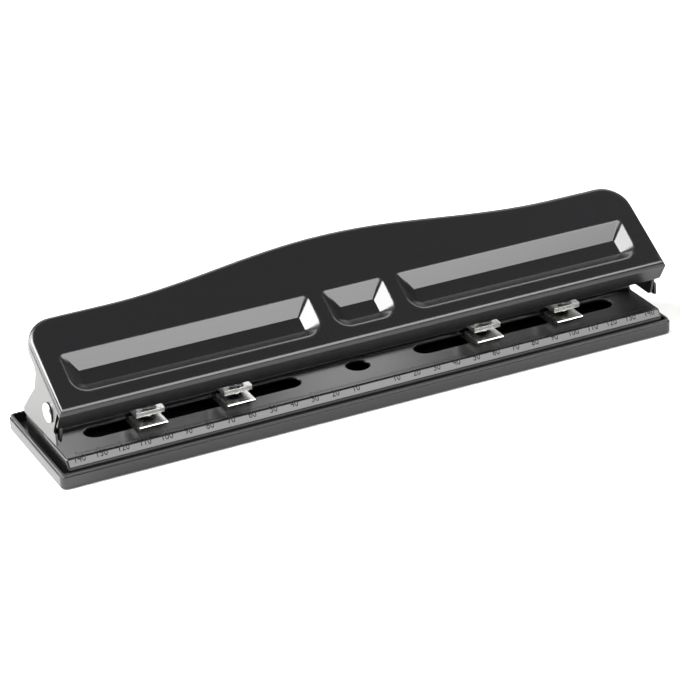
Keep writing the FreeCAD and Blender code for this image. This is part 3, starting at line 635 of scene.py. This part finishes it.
def finish_of(name):
    """A finish's material, made when it is first asked for, and its slot."""
    maker, slot = FINISHES[name]
    if name not in materials:
        materials[name] = maker(bpy.context.scene.punch_look.finish)
    return materials[name], slot


# ---- handle

def in_face(h, y, z):
    """A point of the side view in the face's own plane: (up the face, out of the face)."""
    dy = y - h.nose_front
    dz = z - h.nose_height
    return (dy * math.cos(h.slope) + dz * math.sin(h.slope),
            dz * math.cos(h.slope) - dy * math.sin(h.slope))


def handle_edge(h, inset):
    """Outline of the handle's face, moved inward: (x, distance up the face)."""
    corner_steps = 10
    crest_steps = 56
    half = h.half - inset
    radius = h.corner - inset
    low = h.crest - h.corner
    arc = [math.radians(90 * k / corner_steps) for k in range(corner_steps + 1)]
    crest = []
    for k in range(crest_steps + 1):
        x = h.swell_half * (1 - 2 * k / crest_steps)
        swell = h.swell * (1 + math.cos(math.pi * x / h.swell_half)) / 2
        crest.append(Vector((x, h.crest + swell - inset)))
    return ([Vector((-half, inset)), Vector((half, inset))]
            + [on_circle(half - radius, low, radius, a) for a in arc] + crest
            + [on_circle(radius - half, low, radius, a + math.pi / 2) for a in arc])


def on_rim(rim, low, r, share):
    """A point of the bend from the face into a recess's wall."""
    run = (low - rim).length
    way = (low - rim) / run
    slope = math.atan2(r.depth, run)
    back = r.rim_round * math.tan(slope / 2)
    flat = rim + way * (r.rim_round * math.sin(slope * share) - back)
    return Vector((flat.x, flat.y, r.rim_round * (math.cos(slope * share) - 1)))


def recess_loops(r, x_from, x_to):
    """Loops of (x, up, out) points from the face, over the rim and down to the floor."""
    corner_steps = 8
    bend_steps = 6
    end = r.end_run + r.floor_corner
    floor = rectangle(x_from + end, x_to - end, r.low + r.low_run + r.floor_corner,
                      r.high - r.high_run - r.floor_corner)
    soft = r.low_corner
    tight = r.high_corner
    rim = [(x_from + soft, r.low + soft, soft), (x_to - soft, r.low + soft, soft),
           (x_to - tight, r.high - tight, tight), (x_from + tight, r.high - tight, tight)]
    pairs = []
    for middle, (x, up, radius), start in zip(floor, rim, (180, 270, 0, 90)):
        for k in range(corner_steps + 1):
            angle = math.radians(start + 90 * k / corner_steps)
            pairs.append((on_circle(x, up, radius, angle),
                          on_circle(*middle, r.floor_corner, angle)))
    bend = [[on_rim(*pair, r, k / bend_steps) for pair in pairs]
            for k in range(bend_steps + 1)]
    return bend + [[Vector((foot.x, foot.y, -r.depth)) for top, foot in pairs]]


def flange_corners(h):
    """End flange in the face's own plane: (up the face, out of the face, radius)."""
    set_back = 2.6
    chin = 22.2
    waist_round = 4.0
    drop = (chin - h.nose_height - set_back * math.sin(h.slope)) / math.cos(h.slope)
    shoulder = h.crest - h.corner
    return [(0, -h.edge_round, 0), (0, -LIP_RELIEF, 0), (set_back, -LIP_RELIEF, 0.4),
            (set_back, drop, 0.4), (*in_face(h, 10.3, chin), 0.4),
            (*in_face(h, 9.9, 16.5), 0.5), (*in_face(h, 52.0, 15.2), 1.5),
            (*in_face(h, 43.0, 24.2), 9.0), (*in_face(h, 32.0, 34.5), waist_round),
            (28.0, -h.hem, waist_round), (shoulder, -h.hem, 0), (shoulder, -h.edge_round, 0)]


def handle_skin(h, r):
    """Outer skin of the pressed handle, in the plane of its face."""
    bm = bmesh.new()
    rounds = [ring(bm, [Vector((p.x, p.y, -down)) for p in handle_edge(h, inward)])
              for inward, down in round_over(h.edge_round, 7)]
    bridge(bm, rounds)
    wells = []
    for x_from, x_to in sorted((*mirrored(r.inner, r.outer), (-r.centre_half, r.centre_half))):
        loops = [ring(bm, loop) for loop in recess_loops(r, x_from, x_to)]
        bridge(bm, loops)
        bm.faces.new(loops[-1])
        wells.append(loops[0])
    fill(bm, rounds[0], wells)
    wall = rounds[-1]
    lip_corner = 0.6
    lip = [wall[:2]] + [
        ring(bm, [Vector((inset - h.half, 0, -depth)), Vector((h.half - inset, 0, -depth))])
        for inset, depth in ((0, LIP_RELIEF), (0, h.lip - lip_corner), (lip_corner, h.lip))]
    bridge(bm, lip, closed=False)
    hem = ring(bm, [Vector((v.co.x, v.co.y, -h.hem)) for v in wall[2:]])
    bridge(bm, [wall[2:], hem], closed=False)
    outline = rounded(flange_corners(h))
    bore = circle(*in_face(h, *PIVOT), PIVOT_BORE, 24)
    for place in (at_x(-h.half), at_x(h.half)):
        fill(bm, ring(bm, map(place, outline)), [ring(bm, map(place, bore))])
    return bm


class PUNCH_OT_handle(bpy.types.Operator):
    """Builds the pressed handle with its recesses, lip, hem and end flanges"""
    bl_idname = "punch.handle"
    bl_label = "Handle"

    def execute(self, context):
        look = context.scene.punch_look
        h = sizes(look.handle)
        bm = handle_skin(h, sizes(look.recess))
        tilt = Matrix.Rotation(h.slope, 4, "X")
        bmesh.ops.transform(bm, matrix=tilt, verts=bm.verts)
        bmesh.ops.translate(bm, verts=bm.verts, vec=(0, h.nose_front, h.nose_height))
        make_piece(bm, "handle", "enamel", "handle", ["handle_shell"], sheet=h.sheet,
                   bevel=0.15, sharp=24)
        return {"FINISHED"}


# ---- frame

def frame_path(f):
    """Outer side of the frame's sheet from the front foot over plate and deck to the back."""
    bend = 1.5
    sharp_bend = 0.375
    return [(f.front, FRAME_FOOT, 0), (f.front, f.plate - f.bevel_drop, f.bevel_bend),
            (f.front + f.bevel_depth, f.plate, f.bevel_bend), (f.step, f.plate, bend),
            (f.step, f.deck, sharp_bend), (f.back, f.deck, bend), (f.back, FRAME_FOOT, 0)]


def plate_holes(f):
    """The long slots and the locating hole: each turns a growth into an outline."""
    def slot(a, b):
        return lambda grow: stadium(a, b, f.punch_line, f.slot_width, grow)

    return [*(slot(*ends) for ends in mirrored(f.slot_inner, f.slot_outer)),
            lambda grow: circle(0, f.punch_line, f.hole_radius + grow)]


def deck_holes(f):
    """The narrow slots that the heads' spines run in, given in the same way."""
    low, high = SPINE_SLOT
    corner = 0.6
    clear = 0.22

    def slot(a, b):
        return lambda grow: rounded([(*point, corner) for point in rectangle(
            a - grow, b + grow, low - grow, high + grow)])

    return [slot(*ends) for ends in mirrored(f.slot_inner + clear, f.slot_outer - clear)]


def hole_rim(bm, shape, top, rim, sheet):
    """Rounded rim and wall of a hole through the sheet; returns its upper ring."""
    rings = [ring(bm, map(at_z(top - down), shape(grow))) for grow, down in round_over(rim)]
    rings.append(ring(bm, map(at_z(top - sheet), shape(0.0))))
    bridge(bm, rings)
    return rings[0]


def frame_shape(f):
    """The bent sheet of the frame with its holes, and a rounded slab at each end."""
    widest_bend = 8
    near, far = sheet_strip(frame_path(f), f.sheet)
    outline = rounded(near + far, FINE)
    inner_end = f.half - f.sheet
    bm = bmesh.new()
    left, right = (ring(bm, map(at_x(x), outline)) for x in (-inner_end, inner_end))
    opened = {}
    under = {}
    for top, shapes, rim in ((f.plate, plate_holes(f), 0.6), (f.deck, deck_holes(f), 0.3)):
        opened[round(top, 3)] = shapes, rim
        under[round(top - f.sheet, 3)] = shapes
    for k, point in enumerate(outline):
        n = (k + 1) % len(outline)
        run = outline[n] - point
        flat = abs(run.y) < LEVEL and abs(run.x) > widest_bend
        level = round(point.y, 3)
        strip = [left[k], right[k], right[n], left[n]]
        if flat and level in opened:
            shapes, rim = opened[level]
            fill(bm, strip, [hole_rim(bm, shape, point.y, rim, f.sheet) for shape in shapes])
        elif flat and level in under:
            fill(bm, strip, [ring(bm, map(at_z(point.y), shape(0.0)))
                             for shape in under[level]])
        else:
            bm.faces.new(strip)
    skin = rounded(near, FINE)
    for side in (-1, 1):
        slab(bm, skin, at_x, side * f.half, side * inner_end, 0.8)
    return bm


class PUNCH_OT_frame(bpy.types.Operator):
    """Builds the pressed frame: paper plate with its slots and hole, back stop and deck"""
    bl_idname = "punch.frame"
    bl_label = "Frame"

    def execute(self, context):
        f = sizes(context.scene.punch_look.frame)
        make_piece(frame_shape(f), "frame", "enamel", "frame", ["frame_plate"])
        return {"FINISHED"}


# ---- scale on the paper plate

def on_bend(f, x, along):
    """Printed point on the plate's front: along runs from the bend's upper end backwards."""
    turn = math.atan2(f.bevel_drop, f.bevel_depth)
    radius = f.bevel_bend + f.sheet
    start = f.front + f.bevel_depth + radius * math.tan(turn / 2)
    if along >= 0:
        return Vector((x, start + along, f.plate + INK_LIFT))
    angle = min(-along / radius, turn)
    down = -along - angle * radius
    reach = radius + INK_LIFT
    return Vector((x, start - reach * math.sin(angle) - down * math.cos(turn),
                   f.plate - radius + reach * math.cos(angle) - down * math.sin(turn)))


def numeral_mesh(text, height):
    """Flat mesh of a number, centred on its own middle."""
    font = bpy.data.curves.new("numeral", "FONT")
    font.body = text
    font.size = height * 1.4
    font.align_x = "CENTER"
    font.align_y = "CENTER"
    font.resolution_u = 3
    letter = add_object("numeral", font)
    mesh = baked_mesh(letter)
    bpy.data.objects.remove(letter)
    return mesh


def add_numeral(bm, f, value, height, along):
    """Adds a number at its place on the scale, bent over the plate's front."""
    narrowed = 0.82
    mesh = numeral_mesh(str(abs(value)), height)
    part = bmesh.new()
    part.from_mesh(mesh)
    bpy.data.meshes.remove(mesh)
    for level in (-1.7, -1.4, -1.1, -0.8, -0.5, -0.2, 0.0):
        bmesh.ops.bisect_plane(part, geom=part.verts[:] + part.edges[:] + part.faces[:],
                               plane_co=(0, level - along, 0), plane_no=(0, 1, 0))
    lookup = {v: bm.verts.new(on_bend(f, value + v.co.x * narrowed, along + v.co.y))
              for v in part.verts}
    for face in part.faces:
        bm.faces.new([lookup[v] for v in face.verts])
    part.free()


class PUNCH_OT_scale(bpy.types.Operator):
    """Prints the numerals and ticks of the scale on the paper plate"""
    bl_idname = "punch.scale"
    bl_label = "Scale"

    def execute(self, context):
        look = context.scene.punch_look
        f = sizes(look.frame)
        s = sizes(look.scale)
        numeral_line = -1.7
        numerals = bmesh.new()
        for value in range(-s.span, s.span + 1, 10):
            if value:
                add_numeral(numerals, f, value, s.numeral, numeral_line)
        make_piece(numerals, "scale_numerals", "ink", "frame")
        tick_foot = 1.0
        ticks = bmesh.new()
        for x in range(-s.span, s.span + 1):
            tick_top = tick_foot + (2.6 if x % 10 == 0 else 1.9 if x % 5 == 0 else 1.2)
            corners = rectangle(x - s.tick / 2, x + s.tick / 2, tick_foot, tick_top)
            ticks.faces.new(ring(ticks, [on_bend(f, *corner) for corner in corners]))
        make_piece(ticks, "scale_ticks", "ink", "frame")
        return {"FINISHED"}


# ---- chip tray

def tray_outline(t, inset):
    """The tray's outline moved inward; inside its wall the corners get no tighter."""
    radius = max(0.3, t.corner - min(inset, t.wall))
    corners = rectangle(inset - t.half, t.half - inset, inset, t.depth - inset)
    return rounded([(*corner, radius) for corner in corners], FINE)


class PUNCH_OT_tray(bpy.types.Operator):
    """Builds the chip tray with its stepped rim"""
    bl_idname = "punch.tray"
    bl_label = "Chip tray"

    def execute(self, context):
        t = sizes(context.scene.punch_look.tray)
        bottom = 0.5
        floor = 2.0
        step = 0.7
        shoulder = t.top - 1.2
        # In from the tray's edge, and height: up the outside, over the rim, to the floor.
        profile = [(0.5, bottom), (0.15, bottom + 0.15), (0, bottom + 0.5),
                   (0, shoulder - 0.3), (0.09, shoulder - 0.09), (0.3, shoulder),
                   (step - 0.1, shoulder),
                   (step, shoulder + 0.1), (step, t.top - 0.3),
                   (step + 0.09, t.top - 0.09), (step + 0.3, t.top),
                   (t.wall - 0.25, t.top), (t.wall - 0.07, t.top - 0.07),
                   (t.wall, t.top - 0.25), (t.wall, floor + 0.4), (t.wall + 0.4, floor)]
        bm = bmesh.new()
        close_up(bm, [ring(bm, map(at_z(z), tray_outline(t, inset))) for inset, z in profile])
        make_piece(bm, "tray", "plastic", "tray", ["chip_tray"])
        return {"FINISHED"}


# ---- punch heads

def head_places():
    """Number of each head with the x of its punch line, from the solids of the pins."""
    boxes = [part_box("punch_pin_%d" % n) for n in HEADS]
    return zip(HEADS, (sum(corner.x for corner in box) / 2 / MM for box in boxes))


def head_outline():
    """Side outline of a head: foot under the plate, lower jaw, spine, upper jaw and guide."""
    return [(17.7, 8.6, 0.3), (37.5, 8.6, 1.6), (37.5, 28.6, 1.5), (18.15, 28.6, 0.4),
            (18.15, 26.6, 0.3), (34.0, 26.6, 1.5), (34.0, SPRING_SEAT, 1.5),
            (17.2, SPRING_SEAT, 0.3), (17.6, 15.7, 0.3), (34.0, 15.7, 0), (34.0, 10.2, 0),
            (27.2, 10.2, 0), (27.2, 12.8, 0.4), (14.65, 12.8, 0.5), (14.2, 12.3, 0),
            (17.7, 12.3, 0)]


class PUNCH_OT_heads(bpy.types.Operator):
    """Builds the four sliding punch heads with their bores"""
    bl_idname = "punch.heads"
    bl_label = "Punch heads"

    def execute(self, context):
        look = context.scene.punch_look
        head = sizes(look.head)
        line = sizes(look.frame).punch_line
        # Radius, lower and upper end of the bores for the die, the chips and the pin.
        bores = [(4.2, 9.8, 13.5), (3.5, 7.0, 10.5), (head.pin_radius + 0.05, 15.0, 30.0)]
        outline = rounded(head_outline(), math.radians(15))
        for number, x in head_places():
            bm = bmesh.new()
            prism(bm, outline, at_x, x - head.width / 2, x + head.width / 2)
            make_piece(bm, "head_%d" % number, "nickel", "head_%d" % number,
                       ["head_body_%d" % number], bevel=0.12,
                       cutters=[cylinder_cutter(x, line, *bore) for bore in bores])
        return {"FINISHED"}


def clip_shape(x, y, core):
    """Open ring that snaps into the pin's groove, its mouth to the back."""
    mouth = math.radians(28)
    steps = 26
    angles = [math.pi / 2 + mouth + (2 * math.pi - 2 * mouth) * k / steps
              for k in range(steps + 1)]
    outer, inner = ([on_circle(x, y, radius, a) for a in angles] for radius in (4.8, core))
    bm = bmesh.new()
    prism(bm, outer + inner[::-1], at_z, *GROOVE)
    return bm


def spring_shape(x, y, head):
    """Compression spring with its end turns laid flat."""
    wire = head.wire / 2
    low = SPRING_SEAT + wire
    high = GROOVE[0] - wire
    flat = 0.8
    count = head.turns * 28
    line = []
    for k in range(count + 1):
        turn = head.turns * k / count
        open_part = min(max((turn - flat) / (head.turns - 2 * flat), 0.0), 1.0)
        ends = wire * (min(turn, flat) + max(turn - head.turns + flat, 0.0)) / flat
        height = low + ends + (high - low - head.wire) * open_part
        line.append(Vector((*on_circle(x, y, 4.1, 2 * math.pi * turn), height)))
    bm = bmesh.new()
    tube(bm, line, wire)
    return bm


class PUNCH_OT_pins(bpy.types.Operator):
    """Builds the punch pins, their clips and the return springs"""
    bl_idname = "punch.pins"
    bl_label = "Pins and springs"

    def execute(self, context):
        look = context.scene.punch_look
        head = sizes(look.head)
        y = sizes(look.frame).punch_line
        r = head.pin_radius
        core = r - 0.6
        tip = 14.5
        top = 32.0
        profile = [(0, tip + 1.0), (core, tip), (r, tip), (r, GROOVE[0]), (core, GROOVE[0]),
                   (core, GROOVE[1]), (r, GROOVE[1]), (r, top - 0.5), (r - 0.15, top - 0.15),
                   (r - 0.5, top), (0, top)]
        for number, x in head_places():
            bm = bmesh.new()
            lathe(bm, profile, (x, y, 0), UP)
            make_piece(bm, "pin_%d" % number, "tool_steel", "pin_%d" % number,
                       ["punch_pin_%d" % number])
            make_piece(clip_shape(x, y, core), "clip_%d" % number, "spring_steel",
                       "pin_%d" % number, ["pin_clip_%d" % number], bevel=0.1)
            spring = make_piece(spring_shape(x, y, head), "spring_%d" % number,
                                "spring_steel", "head_%d" % number,
                                ["pin_spring_%d" % number])
            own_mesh(spring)
        return {"FINISHED"}


class PUNCH_OT_leaves(bpy.types.Operator):
    """Builds the friction leaves that hold the heads where they are slid"""
    bl_idname = "punch.leaves"
    bl_label = "Friction leaves"

    def execute(self, context):
        half = 4.5
        path = [(38.0, 26.2, 0), (38.0, 19.6, 1.5), (45.6, 15.8, 1.5), (50.0, 17.4, 0)]
        near, far = sheet_strip(path, 0.5)
        outline = rounded(near + far)
        for number, x in head_places():
            bm = bmesh.new()
            prism(bm, outline, at_x, x - half, x + half)
            make_piece(bm, "leaf_%d" % number, "spring_steel", "head_%d" % number,
                       ["friction_leaf_%d" % number], bevel=0.12)
        return {"FINISHED"}


# ---- pivots and feet

class PUNCH_OT_pivots(bpy.types.Operator):
    """Builds the two bright rivets that the handle turns on"""
    bl_idname = "punch.pivots"
    bl_label = "Pivot rivets"

    def execute(self, context):
        half = sizes(context.scene.punch_look.handle).half
        face = half + 0.2
        tail = half - 3.0
        dome = 0.75
        profile = [(0, tail - 1.0), (1.9, tail - 0.85), (3.0, tail - 0.4), (3.4, tail),
                   (2.0, tail), (2.0, face), (4.2, face), (4.45, face + 0.12),
                   (4.5, face + 0.45), (4.3, face + dome)]
        profile += [(4.3 * math.cos(a), face + dome + dome * math.sin(a))
                    for a in (math.radians(10 * k) for k in range(1, 9))]
        for side, word in ((-1, "left"), (1, "right")):
            bm = bmesh.new()
            lathe(bm, profile + [(0, face + 2 * dome)], (0, *PIVOT), (side, 0, 0), 48)
            make_piece(bm, "rivet_" + word, "nickel", "frame", ["pivot_rivet_" + word])
        return {"FINISHED"}


class PUNCH_OT_feet(bpy.types.Operator):
    """Builds the four rubber feet"""
    bl_idname = "punch.feet"
    bl_label = "Feet"

    def execute(self, context):
        for word in ("front_left", "front_right", "back_left", "back_right"):
            low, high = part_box("foot_" + word)
            middle = (low + high) / 2 / MM
            radius = (high.x - low.x) / 2 / MM
            top = high.z / MM
            bm = bmesh.new()
            lathe(bm, [(0, 0.12), (radius - 1.4, 0.12), (radius - 1.2, 0), (radius - 0.3, 0),
                       (radius - 0.08, 0.1), (radius, 0.3), (radius, top), (0, top)],
                  (middle.x, middle.y - FRONT, 0), UP)
            make_piece(bm, "pad_" + word, "rubber", "tray", ["foot_" + word])
        return {"FINISHED"}


# ---- parts kept as solids

KEPT = {"enamel": ["ear_left", "ear_right", "bar_hanger_left", "bar_hanger_right"],
        "nickel": ["ear_rivets", "pivot_washer_left", "pivot_washer_right",
                   *("leaf_rivet_%d" % n for n in HEADS)],
        "tool_steel": ["press_bar", *("die_bush_%d" % n for n in HEADS)]}


class PUNCH_OT_fittings(bpy.types.Operator):
    """Finishes the ears, press bar, hangers, washers, bushes and small rivets"""
    bl_idname = "punch.fittings"
    bl_label = "Fittings"

    def execute(self, context):
        for finish, nodes in KEPT.items():
            material, slot = finish_of(finish)
            for piece in (frame["nodes"][node] for node in nodes):
                for holder in piece.material_slots:
                    holder.link = "OBJECT"
                    holder.material = material
                soften_edges(piece, 0.12)
        return {"FINISHED"}


# ---- stage

# Lamps that face the punch: direction, distance, width and height in metres, and power.
LAMPS = {"front_softbox": ((0.343, -0.672, 0.656), 0.85, 0.8, 0.44, "front_box"),
         "left_softbox": ((-0.75, 0.45, 0.48), 0.6, 0.4, 0.5, "left_box"),
         "high_softbox": ((-0.527, 0.049, 0.847), 2.0, 1.3, 0.9, "high_box"),
         "back_softbox": ((0.37, 0.59, 0.72), 1.2, 1.4, 0.35, "back_box"),
         "low_middle_strip": ((0.364, 0.784, 0.42), 1.2, 0.12, 0.35, "low_strips"),
         "low_left_strip": ((0.145, 0.85, 0.455), 1.2, 0.12, 0.35, "low_strips")}
LAMP_AIM = Vector((0, 0, 0.03))
# How the camera is turned and, in the last column, where it stands in metres.
CAMERA = ((0.898392, 0.223159, -0.378275, -0.47634),
          (-0.437295, 0.374495, -0.817635, -1.02297),
          (-0.040801, 0.899974, 0.434029, 0.56359),
          (0, 0, 0, 1))


def add_lamp(name, direction, distance, wide, tall, power):
    """Soft area light that faces the punch from a direction."""
    lamp = bpy.data.lights.new(name, "AREA")
    lamp.shape = "RECTANGLE"
    lamp.size = wide
    lamp.size_y = tall
    lamp.energy = power
    holder = add_object(name, lamp)
    way = Vector(direction).normalized()
    holder.location = LAMP_AIM + way * distance
    holder.rotation_euler = way.to_track_quat("Z", "Y").to_euler()
    holder.visible_camera = False


def room(look):
    """Soft even light of a room with pale walls and a dim ceiling."""
    world = bpy.data.worlds.new("room")
    world.use_nodes = True
    tree = world.node_tree
    tree.nodes.clear()
    place = add_node(tree, "ShaderNodeTexCoord")
    parts = add_node(tree, "ShaderNodeSeparateXYZ", links={"Vector": (place, "Generated")})
    fade = add_node(tree, "ShaderNodeMapRange",
                    {"From Min": 0.15, "From Max": 0.5, "To Min": look.wall_light,
                     "To Max": look.ceiling_light, "interpolation_type": "SMOOTHSTEP"},
                    {"Value": (parts, "Z")})
    light = add_node(tree, "ShaderNodeBackground", {"Color": (1, 1, 1, 1)},
                     {"Strength": (fade, "Result")})
    add_node(tree, "ShaderNodeOutputWorld", links={"Surface": (light, "Background")})
    return world


class PUNCH_OT_stage(bpy.types.Operator):
    """Lays the pale floor, sets the soft light and places the camera"""
    bl_idname = "punch.stage"
    bl_label = "Stage"

    def execute(self, context):
        look = context.scene.punch_look.stage
        reach = 6.0
        bm = bmesh.new()
        bm.faces.new(ring(bm, [(x, y, 0) for x, y in rectangle(-reach, reach, -reach, reach)]))
        floor = mesh_object(bm, "floor")
        # Smooth white laminate: dull and even, so it takes light without a pattern.
        laminate = start_material("white_laminate", look.floor, Roughness=0.6)
        floor.data.materials.append(laminate)
        for name, (direction, distance, wide, tall, power) in LAMPS.items():
            add_lamp(name, direction, distance, wide, tall, getattr(look, power))
        context.scene.world = room(look)
        context.scene.view_settings.view_transform = "Standard"
        data = bpy.data.cameras.new("camera")
        data.lens = 148.235
        data.sensor_width = 36.0
        camera = add_object("camera", data)
        camera.matrix_world = Matrix(CAMERA)
        context.scene.camera = camera
        return {"FINISHED"}


# ---- add-on

STEPS = (PUNCH_OT_handle, PUNCH_OT_frame, PUNCH_OT_scale, PUNCH_OT_tray, PUNCH_OT_heads,
         PUNCH_OT_pins, PUNCH_OT_leaves, PUNCH_OT_pivots, PUNCH_OT_feet, PUNCH_OT_fittings,
         PUNCH_OT_stage)


class PUNCH_PT_panel(bpy.types.Panel):
    """Lists the steps that dress the punch"""
    bl_idname = "PUNCH_PT_panel"
    bl_label = "Lever Punch"
    bl_space_type = "VIEW_3D"
    bl_region_type = "UI"
    bl_category = "Lever Punch"

    def draw(self, context):
        for step in STEPS:
            self.layout.operator(step.bl_idname)


CLASSES = (HandleSizes, RecessSizes, FrameSizes, TraySizes, HeadSizes, ScaleSizes, Finishes,
           StageLook, PunchLook, *STEPS, PUNCH_PT_panel)


def register():
    for cls in CLASSES:
        bpy.utils.register_class(cls)
    bpy.types.Scene.punch_look = PointerProperty(type=PunchLook)


def unregister():
    del bpy.types.Scene.punch_look
    for cls in reversed(CLASSES):
        bpy.utils.unregister_class(cls)


def main():
    register()
    for step in STEPS:
        group, name = step.bl_idname.split(".")
        getattr(getattr(bpy.ops, group), name)()


if __name__ == "__main__":
    main()
